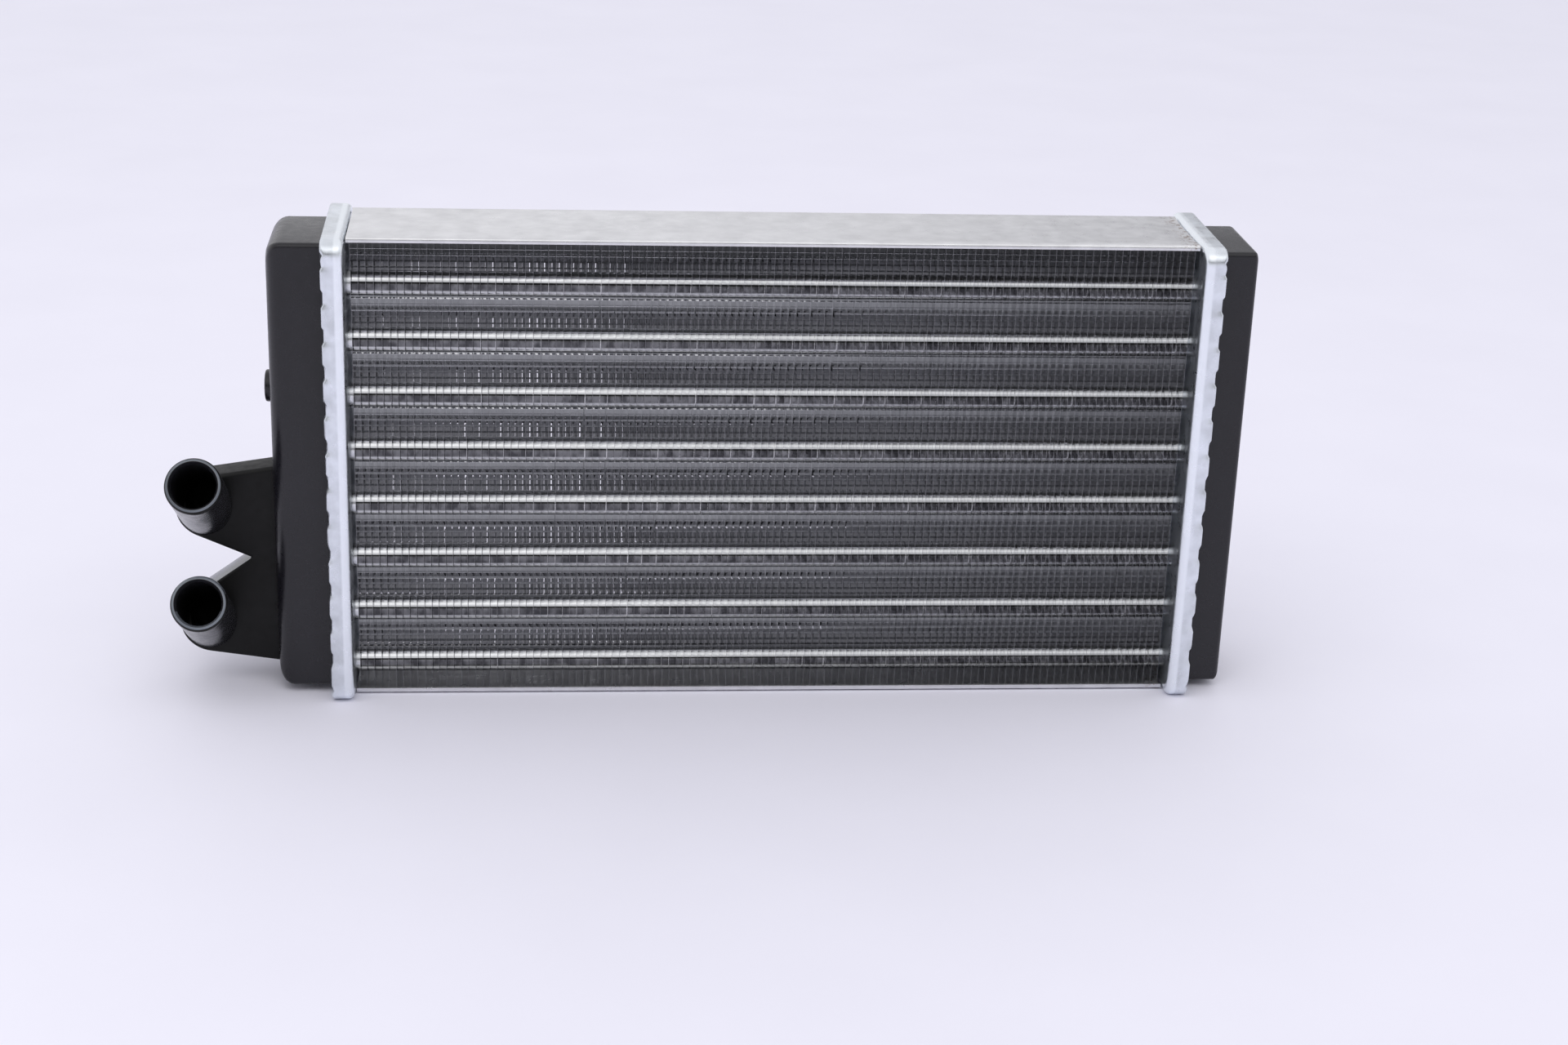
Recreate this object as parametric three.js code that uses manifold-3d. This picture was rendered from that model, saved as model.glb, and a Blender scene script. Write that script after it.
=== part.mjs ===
// Heater core of a car's cabin heater: a matrix of round tubes and plate fins between two pressed
// headers, each crimped round the foot of a moulded tank. Both hose stubs are on the left tank.
//
// Millimetres. +X runs along the tubes to the return tank, +Y to the side that the stubs point away
// from, and +Z up. The sizes below count from the middle of the matrix in X and Y, and from the
// surface that the headers stand on in Z. The last lines move the whole part to its own origin.

import * as THREE from 'three';
import { mergeVertices } from 'three/addons/utils/BufferGeometryUtils.js';
import { RoundedBoxGeometry } from 'three/addons/geometries/RoundedBoxGeometry.js';
import Module from 'manifold-3d';

const wasm = await Module();
wasm.setup();

// ---- Driving dimensions ----

const GAP = 0.3;                       // clearance left between neighbouring pieces

const MATRIX_WIDTH = 240;              // between the two header plates
const MATRIX_DEPTH = 32;
const CORE_HEIGHT = 138;               // height of a header, and of the whole part

const TUBE_RADIUS = 3.5;
const TUBE_WALL = 0.5;
const TUBES_PER_ROW = 8;
const TUBE_PITCH = 16.4;               // between two tubes of one row
const TUBE_ROW_Y = 8;                  // each of the two rows is this far from the middle
const FIRST_TUBE_Z = 7.5;              // lowest tube, in the front row; the back row is half a pitch up
const TUBE_STAND_OUT = 1.6;            // past the header plate, into the tank
const TUBE_SIDES = 12;

const TURBULATOR_LENGTH = 233;
const TURBULATOR_WIDTH = 5.2;
const TURBULATOR_THICKNESS = 0.6;
const TURBULATOR_TURNS = 2;
const TURBULATOR_STEPS = 12;

const FIN_COUNT = 15;                  // the real core has a fin every 2.1 mm
const FIN_PITCH = 15;
const FIN_THICKNESS = 1;
const FIN_HOLE_SIDES = 6;

const SIDE_PLATE_THICKNESS = 0.9;
const SIDE_PLATE_LIP = 1.6;            // bent edge along the front and the back, sheet included

const HEADER_DEPTH = 47.6;
const HEADER_WIDTH = 6.5;              // along X, from the plate's face to the crimped edge
const HEADER_SHEET = 1.2;
const HEADER_CORNER = 4.5;
const CRIMP_OVERHANG = 3.2;            // folded edge that holds the tank's foot, front and back

const GASKET_THICKNESS = 1.4;
const GASKET_OPENING_DEPTH = 30;
const GASKET_OPENING_MARGIN_Z = 3.4;

const TANK_DEPTH = 31.3;
const TANK_BOTTOM = 2.2;
const TANK_TOP = 135.4;
const TANK_WALL = 2.2;
const FOOT_THICKNESS = 1.9;
const LEFT_TANK_FACE = 142.2;          // outer face of each tank, from the middle of the matrix
const RIGHT_TANK_FACE = 137.5;
const LEFT_TANK_RADIUS = 4.5;
const RIGHT_TANK_RADIUS = 1.6;
const TANK_CORNER_STEPS = 3;

const STUB_RADIUS = 8;
const STUB_BORE_RADIUS = 6.2;
const STUB_ELEVATION = THREE.MathUtils.degToRad(32);
const STUB_X = -162.4;
const STUB_MOUTH_Y = -30;
const STUB_MOUTH_Z = [69.8, 34.4];     // upper stub, lower stub
const STUB_ROOT_Y = -2;                // the stub starts here, inside its duct
const STUB_SIDES = 24;

const DUCT_FRONT = -8;
const DUCT_BACK = 5;
const DUCT_WALL = 2.4;
const DUCT_ROUND_X = -161.2;           // round end of each duct, where it turns into its stub
const DUCT_ROUND_Z = [54.8, 19.3];
const DUCT_ROUND_RADIUS = 9.5;
const DUCT_ROOT_TOP = 67.4;
const DUCT_ROOT_BOTTOM = 6.9;
const DUCT_NOTCH = [-149.5, 39.3];     // inner corner of the notch between the ducts, in X and Z
const DUCT_ARC_STEPS = 10;

const DIVIDER_THICKNESS = 1.8;
const PAD_RADIUS = 4.6;                // round gate pad on the left tank's outer face
const PAD_HEIGHT = 1.8;
const PAD_Y = -5;
const PAD_Z = 91;

// ---- Places that follow from the sizes ----

const PLATE_X = MATRIX_WIDTH / 2;                       // matrix side of a header plate
const RIM_X = PLATE_X + HEADER_WIDTH;                   // crimped edge of a header
const TRAY_X = PLATE_X + HEADER_SHEET;                  // floor of a header's tray
const GASKET_X = TRAY_X + GAP;
const FOOT_X = GASKET_X + GASKET_THICKNESS + GAP;
const FOOT_END_X = FOOT_X + FOOT_THICKNESS;
const FOLD_X = FOOT_END_X + GAP;                        // inner side of the folded crimp edge
const TRAY_HALF_DEPTH = HEADER_DEPTH / 2 - HEADER_SHEET;
const FOOT_HALF_DEPTH = TRAY_HALF_DEPTH - GAP;
const FOOT_BOTTOM = HEADER_SHEET + GAP;
const FOOT_TOP = CORE_HEIGHT - FOOT_BOTTOM;
const CUT = 2;                                          // how far a cutting tool runs past a face
const WELD_TOLERANCE = 1e-4;                            // points closer than this become one

const aluminium = { color: 0xb4b6bb, metalness: 1, roughness: 0.34 };
const darkAluminium = { color: 0x9c9ea3, metalness: 1, roughness: 0.42 };
const blackNylon = { color: 0x222226, metalness: 0, roughness: 0.42 };
const blackRubber = { color: 0x141414, metalness: 0, roughness: 0.8 };
const paleNylon = { color: 0xcfc8b4, metalness: 0, roughness: 0.5 };

// ---- Shapes ----

function box(x0, x1, y0, y1, z0, z1) {
  const geometry = new THREE.BoxGeometry(x1 - x0, y1 - y0, z1 - z0);
  return geometry.translate((x0 + x1) / 2, (y0 + y1) / 2, (z0 + z1) / 2);
}

// An outline in Y and Z, made solid from x0 to x1.
function alongX(outline, x0, x1, curveSegments = 4) {
  const settings = { depth: x1 - x0, bevelEnabled: false, curveSegments };
  const geometry = new THREE.ExtrudeGeometry(outline, settings);
  const turn = new THREE.Matrix4().makeBasis(
    new THREE.Vector3(0, 1, 0),
    new THREE.Vector3(0, 0, 1),
    new THREE.Vector3(1, 0, 0),
  );
  return geometry.applyMatrix4(turn).translate(x0, 0, 0);
}

// An outline in X and Z, made solid from y0 to y1.
function alongY(outline, y0, y1, curveSegments = 4) {
  const settings = { depth: y1 - y0, bevelEnabled: false, curveSegments };
  const geometry = new THREE.ExtrudeGeometry(outline, settings);
  return geometry.rotateX(Math.PI / 2).translate(0, y1, 0);
}

function roundedRectangle(u0, u1, v0, v1, radius) {
  const outline = new THREE.Shape();
  outline.moveTo(u0 + radius, v0);
  outline.lineTo(u1 - radius, v0);
  outline.absarc(u1 - radius, v0 + radius, radius, -Math.PI / 2, 0);
  outline.absarc(u1 - radius, v1 - radius, radius, 0, Math.PI / 2);
  outline.absarc(u0 + radius, v1 - radius, radius, Math.PI / 2, Math.PI);
  outline.absarc(u0 + radius, v0 + radius, radius, Math.PI, Math.PI * 1.5);
  return outline;
}

function circle(u, v, radius, PathClass = THREE.Shape) {
  return new PathClass().absarc(u, v, radius, 0, Math.PI * 2);
}

function rod(start, end, radius, sides) {
  const span = new THREE.Vector3().subVectors(end, start);
  const geometry = new THREE.CylinderGeometry(radius, radius, span.length(), sides);
  const turn = new THREE.Quaternion().setFromUnitVectors(new THREE.Vector3(0, 1, 0), span.normalize());
  const middle = new THREE.Vector3().addVectors(start, end).multiplyScalar(0.5);
  return geometry.applyQuaternion(turn).translate(middle.x, middle.y, middle.z);
}

// ---- Joining and cutting ----

function solid(geometry) {
  const bare = geometry.clone();
  bare.deleteAttribute('normal');
  bare.deleteAttribute('uv');
  const merged = mergeVertices(bare, WELD_TOLERANCE);
  return new wasm.Manifold(new wasm.Mesh({
    numProp: 3,
    vertProperties: new Float32Array(merged.attributes.position.array),
    triVerts: new Uint32Array(merged.index.array),
  }));
}

function shapeOf(manifold) {
  const mesh = manifold.getMesh();
  const geometry = new THREE.BufferGeometry();
  geometry.setAttribute('position', new THREE.BufferAttribute(mesh.vertProperties, 3));
  geometry.setIndex(new THREE.BufferAttribute(mesh.triVerts, 1));
  geometry.computeVertexNormals();
  return geometry;
}

function piece(name, geometry, look) {
  const mesh = new THREE.Mesh(geometry, new THREE.MeshStandardMaterial(look));
  mesh.name = name;
  return mesh;
}

// A shape that is drawn at the right end, moved to its place at the left end. Mirroring turns every
// triangle inside out, so two of its corners change places.
function mirrored(geometry) {
  const shape = geometry.clone().scale(-1, 1, 1);
  const corners = shape.index.array;
  for (let i = 0; i < corners.length; i += 3) {
    [corners[i], corners[i + 1]] = [corners[i + 1], corners[i]];
  }
  shape.computeVertexNormals();
  return shape;
}

// ---- Tube places ----

function tubePlaces() {
  const places = [];
  for (let i = 0; i < TUBES_PER_ROW; i += 1) {
    const z = FIRST_TUBE_Z + i * TUBE_PITCH;
    places.push({ row: 'front', number: i + 1, y: -TUBE_ROW_Y, z });
    places.push({ row: 'back', number: i + 1, y: TUBE_ROW_Y, z: z + TUBE_PITCH / 2 });
  }
  return places;
}

// ---- Matrix ----

function tube({ y, z }) {
  const outline = circle(y, z, TUBE_RADIUS);
  outline.holes.push(circle(y, z, TUBE_RADIUS - TUBE_WALL, THREE.Path));
  const end = TRAY_X + TUBE_STAND_OUT;
  return alongX(outline, -end, end, TUBE_SIDES / 2);
}

// A flat strip, twisted evenly about its own length.
function turbulator({ y, z }) {
  const strip = new THREE.BoxGeometry(
    TURBULATOR_LENGTH,
    TURBULATOR_WIDTH,
    TURBULATOR_THICKNESS,
    TURBULATOR_STEPS,
  );
  const corners = strip.attributes.position;
  const point = new THREE.Vector3();
  const lengthwise = new THREE.Vector3(1, 0, 0);
  for (let i = 0; i < corners.count; i += 1) {
    point.fromBufferAttribute(corners, i);
    const turns = (point.x / TURBULATOR_LENGTH) * TURBULATOR_TURNS;
    point.applyAxisAngle(lengthwise, turns * Math.PI * 2);
    corners.setXYZ(i, point.x, point.y, point.z);
  }
  return strip.translate(0, y, z);
}

// A plate fin with a hole for every tube. The hole's flats clear the tube.
function fin(x) {
  const halfDepth = MATRIX_DEPTH / 2 - GAP;
  const bottom = SIDE_PLATE_THICKNESS + 2 * GAP;
  const outline = new THREE.Shape();
  outline.moveTo(-halfDepth, bottom);
  outline.lineTo(halfDepth, bottom);
  outline.lineTo(halfDepth, CORE_HEIGHT - bottom);
  outline.lineTo(-halfDepth, CORE_HEIGHT - bottom);
  const holeRadius = (TUBE_RADIUS + GAP) / Math.cos(Math.PI / FIN_HOLE_SIDES);
  outline.holes = tubePlaces().map(({ y, z }) => circle(y, z, holeRadius, THREE.Path));
  return alongX(outline, x - FIN_THICKNESS / 2, x + FIN_THICKNESS / 2, FIN_HOLE_SIDES / 2);
}

// A channel whose two lips hold the front and back edges of the fins. It is drawn for the top.
function sidePlate() {
  const outside = MATRIX_DEPTH / 2 + SIDE_PLATE_THICKNESS;
  const inside = MATRIX_DEPTH / 2;
  const top = CORE_HEIGHT - GAP;
  const outline = new THREE.Shape();
  outline.moveTo(-outside, top - SIDE_PLATE_LIP);
  outline.lineTo(-inside, top - SIDE_PLATE_LIP);
  outline.lineTo(-inside, top - SIDE_PLATE_THICKNESS);
  outline.lineTo(inside, top - SIDE_PLATE_THICKNESS);
  outline.lineTo(inside, top - SIDE_PLATE_LIP);
  outline.lineTo(outside, top - SIDE_PLATE_LIP);
  outline.lineTo(outside, top);
  outline.lineTo(-outside, top);
  return alongX(outline, -PLATE_X + GAP, PLATE_X - GAP);
}

function bottomSidePlate() {
  return sidePlate().rotateX(Math.PI).translate(0, 0, CORE_HEIGHT);
}

// ---- Headers and gaskets, drawn at the right end ----

// A pressed tray. Its long edges are folded over the tank's foot.
function header() {
  const half = HEADER_DEPTH / 2;
  const tray = solid(alongX(roundedRectangle(-half, half, 0, CORE_HEIGHT, HEADER_CORNER), PLATE_X, RIM_X));
  const low = HEADER_SHEET;
  const high = CORE_HEIGHT - HEADER_SHEET;
  const innerCorner = HEADER_CORNER - HEADER_SHEET;
  const pocket = roundedRectangle(-TRAY_HALF_DEPTH, TRAY_HALF_DEPTH, low, high, innerCorner);
  const mouthHalf = TRAY_HALF_DEPTH - CRIMP_OVERHANG;
  const hollow = solid(alongX(pocket, TRAY_X, FOLD_X));
  const mouth = solid(box(FOLD_X - GAP, RIM_X + CUT, -mouthHalf, mouthHalf, low, high));
  const holeRadius = (TUBE_RADIUS + GAP) / Math.cos(Math.PI / TUBE_SIDES);
  const holes = tubePlaces().map(({ y, z }) => (
    solid(alongX(circle(y, z, holeRadius), PLATE_X - CUT, TRAY_X + CUT, TUBE_SIDES / 2))
  ));
  const folded = tray.subtract(hollow).subtract(mouth);
  return shapeOf(holes.reduce((plate, hole) => plate.subtract(hole), folded));
}

function gasket() {
  const corner = HEADER_CORNER - HEADER_SHEET - GAP;
  const outline = roundedRectangle(-FOOT_HALF_DEPTH, FOOT_HALF_DEPTH, FOOT_BOTTOM, FOOT_TOP, corner);
  const half = GASKET_OPENING_DEPTH / 2;
  const low = GASKET_OPENING_MARGIN_Z;
  const opening = new THREE.Path();
  opening.moveTo(-half, low);
  opening.lineTo(half, low);
  opening.lineTo(half, CORE_HEIGHT - low);
  opening.lineTo(-half, CORE_HEIGHT - low);
  outline.holes.push(opening);
  return shapeOf(solid(alongX(outline, GASKET_X, GASKET_X + GASKET_THICKNESS)));
}

// ---- Tanks, drawn at the right end ----

// The foot and the rounded shell, still solid inside. The shell's open side is cut off at the foot.
function tankShell(face, radius) {
  const corner = HEADER_CORNER - HEADER_SHEET - GAP;
  const footOutline = roundedRectangle(-FOOT_HALF_DEPTH, FOOT_HALF_DEPTH, FOOT_BOTTOM, FOOT_TOP, corner);
  const foot = solid(alongX(footOutline, FOOT_X, FOOT_END_X));
  const height = TANK_TOP - TANK_BOTTOM;
  const length = 2 * (face - FOOT_X);
  const rounded = new RoundedBoxGeometry(length, TANK_DEPTH, height, TANK_CORNER_STEPS, radius);
  const whole = solid(rounded.translate(face - length / 2, 0, (TANK_TOP + TANK_BOTTOM) / 2));
  const beyond = solid(box(FOOT_X - length, FOOT_X, -TANK_DEPTH, TANK_DEPTH, -CUT, CORE_HEIGHT + CUT));
  return shapeOf(foot.add(whole.subtract(beyond)));
}

function tankHollow(face) {
  const half = TANK_DEPTH / 2 - TANK_WALL;
  const low = TANK_BOTTOM + TANK_WALL;
  const high = TANK_TOP - TANK_WALL;
  return box(FOOT_X - CUT, face - TANK_WALL, -half, half, low, high);
}

function rightTank() {
  const shell = solid(tankShell(RIGHT_TANK_FACE, RIGHT_TANK_RADIUS));
  return shapeOf(shell.subtract(solid(tankHollow(RIGHT_TANK_FACE))));
}

// ---- Ducts and hose stubs of the left tank, drawn in place ----

// Angle, seen from the centre of a circle, of the point where a line from a corner touches it.
// side is 1 or -1 for the two lines that a corner has.
function touchAngle(corner, centre, radius, side) {
  const across = corner.x - centre.x;
  const up = corner.y - centre.y;
  return Math.atan2(up, across) + side * Math.acos(radius / Math.hypot(across, up));
}

// One duct: from its root on the tank it narrows to a round end.
function ductOutline(rootTop, rootBottom, roundZ, inset) {
  const radius = DUCT_ROUND_RADIUS - inset;
  const centre = new THREE.Vector2(DUCT_ROUND_X, roundZ);
  const top = new THREE.Vector2(rootTop[0], rootTop[1] - inset);
  const bottom = new THREE.Vector2(rootBottom[0], rootBottom[1] + inset);
  const insideX = -LEFT_TANK_FACE + TANK_WALL + CUT;
  const outline = new THREE.Shape();
  outline.moveTo(insideX, bottom.y);
  outline.lineTo(insideX, top.y);
  outline.lineTo(top.x, top.y);
  const from = touchAngle(top, centre, radius, 1);
  const to = touchAngle(bottom, centre, radius, -1) + Math.PI * 2;
  outline.absarc(centre.x, centre.y, radius, from, to);
  outline.lineTo(bottom.x, bottom.y);
  return outline;
}

function ductOutlines(inset) {
  const rootX = -LEFT_TANK_FACE;
  const upper = ductOutline([rootX, DUCT_ROOT_TOP], DUCT_NOTCH, DUCT_ROUND_Z[0], inset);
  const lower = ductOutline(DUCT_NOTCH, [rootX, DUCT_ROOT_BOTTOM], DUCT_ROUND_Z[1], inset);
  return [upper, lower];
}

function stubRod(mouthZ, radius, extra) {
  const rise = Math.tan(STUB_ELEVATION);
  const rootZ = mouthZ - (STUB_ROOT_Y - STUB_MOUTH_Y) * rise;
  const start = new THREE.Vector3(STUB_X, STUB_ROOT_Y, rootZ);
  const end = new THREE.Vector3(STUB_X, STUB_MOUTH_Y - extra, mouthZ + extra * rise);
  return rod(start, end, radius, STUB_SIDES);
}

// The wall that keeps the two water passes apart. It leans from the notch between the ducts to the
// middle of the header, so that each duct feeds its own half of the tubes.
function divider() {
  const outerX = -LEFT_TANK_FACE + TANK_WALL / 2;
  const innerX = -FOOT_X;
  const half = DIVIDER_THICKNESS / 2;
  const outline = new THREE.Shape();
  outline.moveTo(outerX, DUCT_NOTCH[1] - half);
  outline.lineTo(innerX, CORE_HEIGHT / 2 - half);
  outline.lineTo(innerX, CORE_HEIGHT / 2 + half);
  outline.lineTo(outerX, DUCT_NOTCH[1] + half);
  const reach = TANK_DEPTH / 2 - TANK_WALL / 2;
  return solid(alongY(outline, -reach, reach));
}

function leftTank() {
  const shell = solid(mirrored(tankShell(LEFT_TANK_FACE, LEFT_TANK_RADIUS)));
  const ducts = ductOutlines(0).map((outline) => (
    solid(alongY(outline, DUCT_FRONT, DUCT_BACK, DUCT_ARC_STEPS))
  ));
  const stubs = STUB_MOUTH_Z.map((z) => solid(stubRod(z, STUB_RADIUS, 0)));
  const padStart = new THREE.Vector3(-LEFT_TANK_FACE + TANK_WALL / 2, PAD_Y, PAD_Z);
  const padEnd = new THREE.Vector3(-LEFT_TANK_FACE - PAD_HEIGHT, PAD_Y, PAD_Z);
  const pad = solid(rod(padStart, padEnd, PAD_RADIUS, TUBE_SIDES));
  const outside = [...ducts, ...stubs, pad].reduce((whole, next) => whole.add(next), shell);

  const hollow = solid(mirrored(tankHollow(LEFT_TANK_FACE))).subtract(divider());
  const channelFront = DUCT_FRONT + DUCT_WALL;
  const channelBack = DUCT_BACK - DUCT_WALL;
  const channels = ductOutlines(DUCT_WALL).map((outline) => (
    solid(alongY(outline, channelFront, channelBack, DUCT_ARC_STEPS))
  ));
  const bores = STUB_MOUTH_Z.map((z) => solid(stubRod(z, STUB_BORE_RADIUS, CUT)));
  const cuts = [hollow, ...channels, ...bores];
  return shapeOf(cuts.reduce((whole, next) => whole.subtract(next), outside));
}

// ---- The whole part ----

const core = new THREE.Group();

core.add(piece('left_tank', leftTank(), blackNylon));
core.add(piece('right_tank', rightTank(), blackNylon));
core.add(piece('left_header', mirrored(header()), aluminium));
core.add(piece('right_header', header(), aluminium));
core.add(piece('left_gasket', mirrored(gasket()), blackRubber));
core.add(piece('right_gasket', gasket(), blackRubber));
core.add(piece('top_side_plate', sidePlate(), aluminium));
core.add(piece('bottom_side_plate', bottomSidePlate(), aluminium));

for (const place of tubePlaces()) {
  core.add(piece(`tube_${place.row}_${place.number}`, tube(place), aluminium));
  core.add(piece(`turbulator_${place.row}_${place.number}`, turbulator(place), paleNylon));
}

for (let i = 0; i < FIN_COUNT; i += 1) {
  const x = (i - (FIN_COUNT - 1) / 2) * FIN_PITCH;
  core.add(piece(`fin_${String(i + 1).padStart(2, '0')}`, fin(x), darkAluminium));
}

// The origin is the middle of the footprint of the part's bounding box.
const leftmostX = DUCT_ROUND_X - DUCT_ROUND_RADIUS;
const foremostY = STUB_MOUTH_Y - STUB_RADIUS * Math.sin(STUB_ELEVATION);
core.position.x = -(leftmostX + RIGHT_TANK_FACE) / 2;
core.position.y = -(foremostY + HEADER_DEPTH / 2) / 2;

export default core;
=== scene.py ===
# Looks of a car's cabin heater core: a matrix of round tubes and plate fins between two crimped
# headers, with a moulded tank on each header and two hose stubs on the left tank.
#
# The shapes are worked out in millimetres in the matrix's own frame: X and Y count from the middle of
# the matrix and Z from the floor. in_row_frame() turns them into metres in the row frame.

import math

import bmesh
import bpy
import numpy as np
from mathutils import Matrix, Vector


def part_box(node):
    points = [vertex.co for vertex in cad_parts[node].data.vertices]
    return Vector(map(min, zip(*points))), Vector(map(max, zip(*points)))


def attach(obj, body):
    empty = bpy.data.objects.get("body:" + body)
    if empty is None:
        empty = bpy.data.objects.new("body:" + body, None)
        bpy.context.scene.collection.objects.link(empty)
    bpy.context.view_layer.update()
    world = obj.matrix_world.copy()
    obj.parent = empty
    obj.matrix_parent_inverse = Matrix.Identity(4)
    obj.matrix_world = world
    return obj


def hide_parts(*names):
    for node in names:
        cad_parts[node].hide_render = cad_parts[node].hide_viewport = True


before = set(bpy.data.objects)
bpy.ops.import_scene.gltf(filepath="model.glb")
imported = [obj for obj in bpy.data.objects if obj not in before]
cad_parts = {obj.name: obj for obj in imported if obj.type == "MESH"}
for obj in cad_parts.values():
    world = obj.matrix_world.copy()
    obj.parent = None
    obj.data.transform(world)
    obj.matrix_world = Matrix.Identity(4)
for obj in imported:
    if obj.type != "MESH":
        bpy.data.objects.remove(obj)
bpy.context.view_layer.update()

MM = 0.001


def matrix_centre():
    """Middle of the matrix on the floor, in the row frame, in metres."""
    left_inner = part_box("left_header")[1].x
    right_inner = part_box("right_header")[0].x
    low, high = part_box("right_header")
    return Vector(((left_inner + right_inner) / 2, (low.y + high.y) / 2, 0))


CENTRE = matrix_centre()


def local_box(node):
    """A CAD node's lowest and highest corners, in millimetres in the matrix's frame."""
    low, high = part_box(node)
    return (low - CENTRE) / MM, (high - CENTRE) / MM


# ---- Sizes from the frame, in millimetres like all that follow unless they say otherwise ----

PLATE_X = local_box("right_header")[0].x
HEADER_BOTTOM = local_box("right_header")[0].z
RIM_X, HEADER_BACK, HEADER_TOP = local_box("right_header")[1]
RIGHT_TANK_FACE = local_box("right_tank")[1].x
TUBES_PER_ROW = 8
FIN_STACKS = 15

# ---- Fins ----

FIN_PITCH = 2.1
FIN_SHEET = 0.06
FIN_CLEAR_OF_HEADER = 1.3
FIN_BOTTOM = 1.4
FIN_TOP = HEADER_TOP - 1.7
FIN_LEAN = 0.06                    # each fin stands a little off its place,
FIN_SWAY = 0.12                    # and waves a little along its height
FIN_SWAY_LENGTH = 17
FIN_SEED = 7
COLUMN_DEPTH = 16                  # one row of tubes takes this much of a fin's depth
SQUARE = 4.2                       # half of the flat square of fin round a tube
SQUARE_STEPS = (-SQUARE, -SQUARE / 2, 0, SQUARE / 2, SQUARE)
LEG = 0.5                          # height of the slope at each end of a rippled panel
RIPPLE_Y = (-7.5, *SQUARE_STEPS, 7.5)
RIPPLE_X = {"front": (0, 0, 0, 0, 0, 0, 0), "back": (0, -0.95, 0.05, 0.95, 0, -0.9, 0)}
SPACER_ROOT = 0.01                 # tabs and flaps start inside the sheet that carries them,
SPACER_REACH = 1.95                # and end just short of the next one
TABS_PER_TUBE = 9                  # spacer tabs down the middle of a fin, in one pitch of the tubes
FIRST_TAB = -0.85                  # where they start, in pitches from the tube
TAB_DEPTH = (-0.9, 0.6)
FLAP_DEPTH = 15.6                  # upright spacer flaps near a fin's back edge, under the back tubes
FLAP_HEIGHTS = (-8.4, -5.3)
TUBE_HOLE = 3.62                   # radius of the collars and of the headers' tube holes
COLLAR = (                         # (radius, distance from the sheet) of a collar's rings
    (4.05, 0.0), (3.72, 0.01), (3.64, 0.05), (TUBE_HOLE, 0.12), (TUBE_HOLE, 1.9), (TUBE_HOLE, 2.06),
)

# ---- Looks of the fins' foil ----

DULL_START = (0.8, 2.2)            # Y over which the back column's dull foil begins,
DULL_END = (11.5, 13)              # and over which it clears up again
GLOW_END = (9, 11)                 # Y over which the glow dies away
CUT_EDGE = (-15.96, -15.9)
BETWEEN_TUBES = (0.22, 0.25)       # these are in pitches from the nearest back tube's centre
ON_TUBE = (0.11, 0.17)
HALF_WAY = (0.40, 0.43)
UNDER_TUBE = ((0.40, 0.44), (0.59, 0.57))                   # phases that the painted shade streak is between
ABOVE_TOP_TUBE = (2, 5)            # Z over which the glow fades, from the top front tube's centre

# ---- Tubes ----

TUBE_SIDES = 48
TUBE_END = ((0.15, 0), (0, 0.15), (0, 0.38), (0.1, 0.5))    # (from the end, under the outside)

# ---- Headers ----

HEADER_SHEET = 1.2
HEADER_CORNER = 4.5
BEND = 1.9
FACE_INSET = 7                     # from the outline to where the flat face is closed
FACE_EDGE = 0.6                    # a second ring this far inside the bend
RIM_ROUND = 0.9
LIP = 3.6                          # how far the folded rim reaches in
LIP_SHEET = 1.0
CRIMP_PITCH = 10.8
CRIMP_SHIFT = 3
CRIMP_SHARPNESS = 7
CRIMP_BIAS = 0.3                   # above 0, the raised parts are wider than the pressed ones
CRIMP_DEPTH = 0.5
CRIMP_PRESS = 0.35
CRIMP_CLEAR = 4                    # the rim is straight this far from the header's ends,
CRIMP_FADE = 3                     # and takes this much to reach its full waves
CRIMP_START = ((3.2, 0.15), (1.8, 0.6))                     # (back from the rim, share of the waves)
CORNER_GAP = 0.7                   # depth, distance from the header's end and width of the small
CORNER_GAP_PLACE = 3.4             # gaps in the rim at its folded corners
CORNER_GAP_WIDTH = 0.8
HEADER_SIDE_STEPS = (144, 42)      # along an upright side and along a level one
HOLE_SIDES = 40

# ---- Side plates ----

PLATE_LIP = 1.5
PLATE_SHEET = 0.8
PLATE_BEND = 0.9
PLATE_SAG = 0.1                    # the plate sinks this much from its middle to its ends
PLATE_END = 7                      # its last few millimetres dip further, under the header
LEFT_END_DIP = 0.2
RIGHT_END_DIP = 0.42
PLATE_STATIONS = 121

# ---- Tanks ----

TANK_HALF_DEPTH = 15.65
TANK_BOTTOM = 2.2
TANK_TOP = 135.4
TANK_CORNER = 1.4
LEFT_TANK_FACE = 142.2
LEFT_TANK_ROUND = 4.5
RIGHT_TANK_ROUND = 1.6
FOOT_X = 123.2
FOOT_END_X = 125.1
FOOT_HALF_DEPTH = 22.3
FOOT_BOTTOM = 1.5
FOOT_CORNER = 3
FOOT_FILLET = 0.6
CORNER_GROWTH = 0.55               # how much a corner's radius grows where the shell is inset
WALL = 2.2
JUST_OFF = 0.05                    # a small step off a face
PAD_PLACE = (-5, 91)               # Y and Z of the round pad on the left tank's end
PAD = ((-1, 4.6), (1.2, 4.6), (1.6, 4.4), (1.8, 3.9))       # (out of the end face, radius)
PAD_SIDES = 48

# ---- Ducts and stubs of the left tank ----

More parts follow.
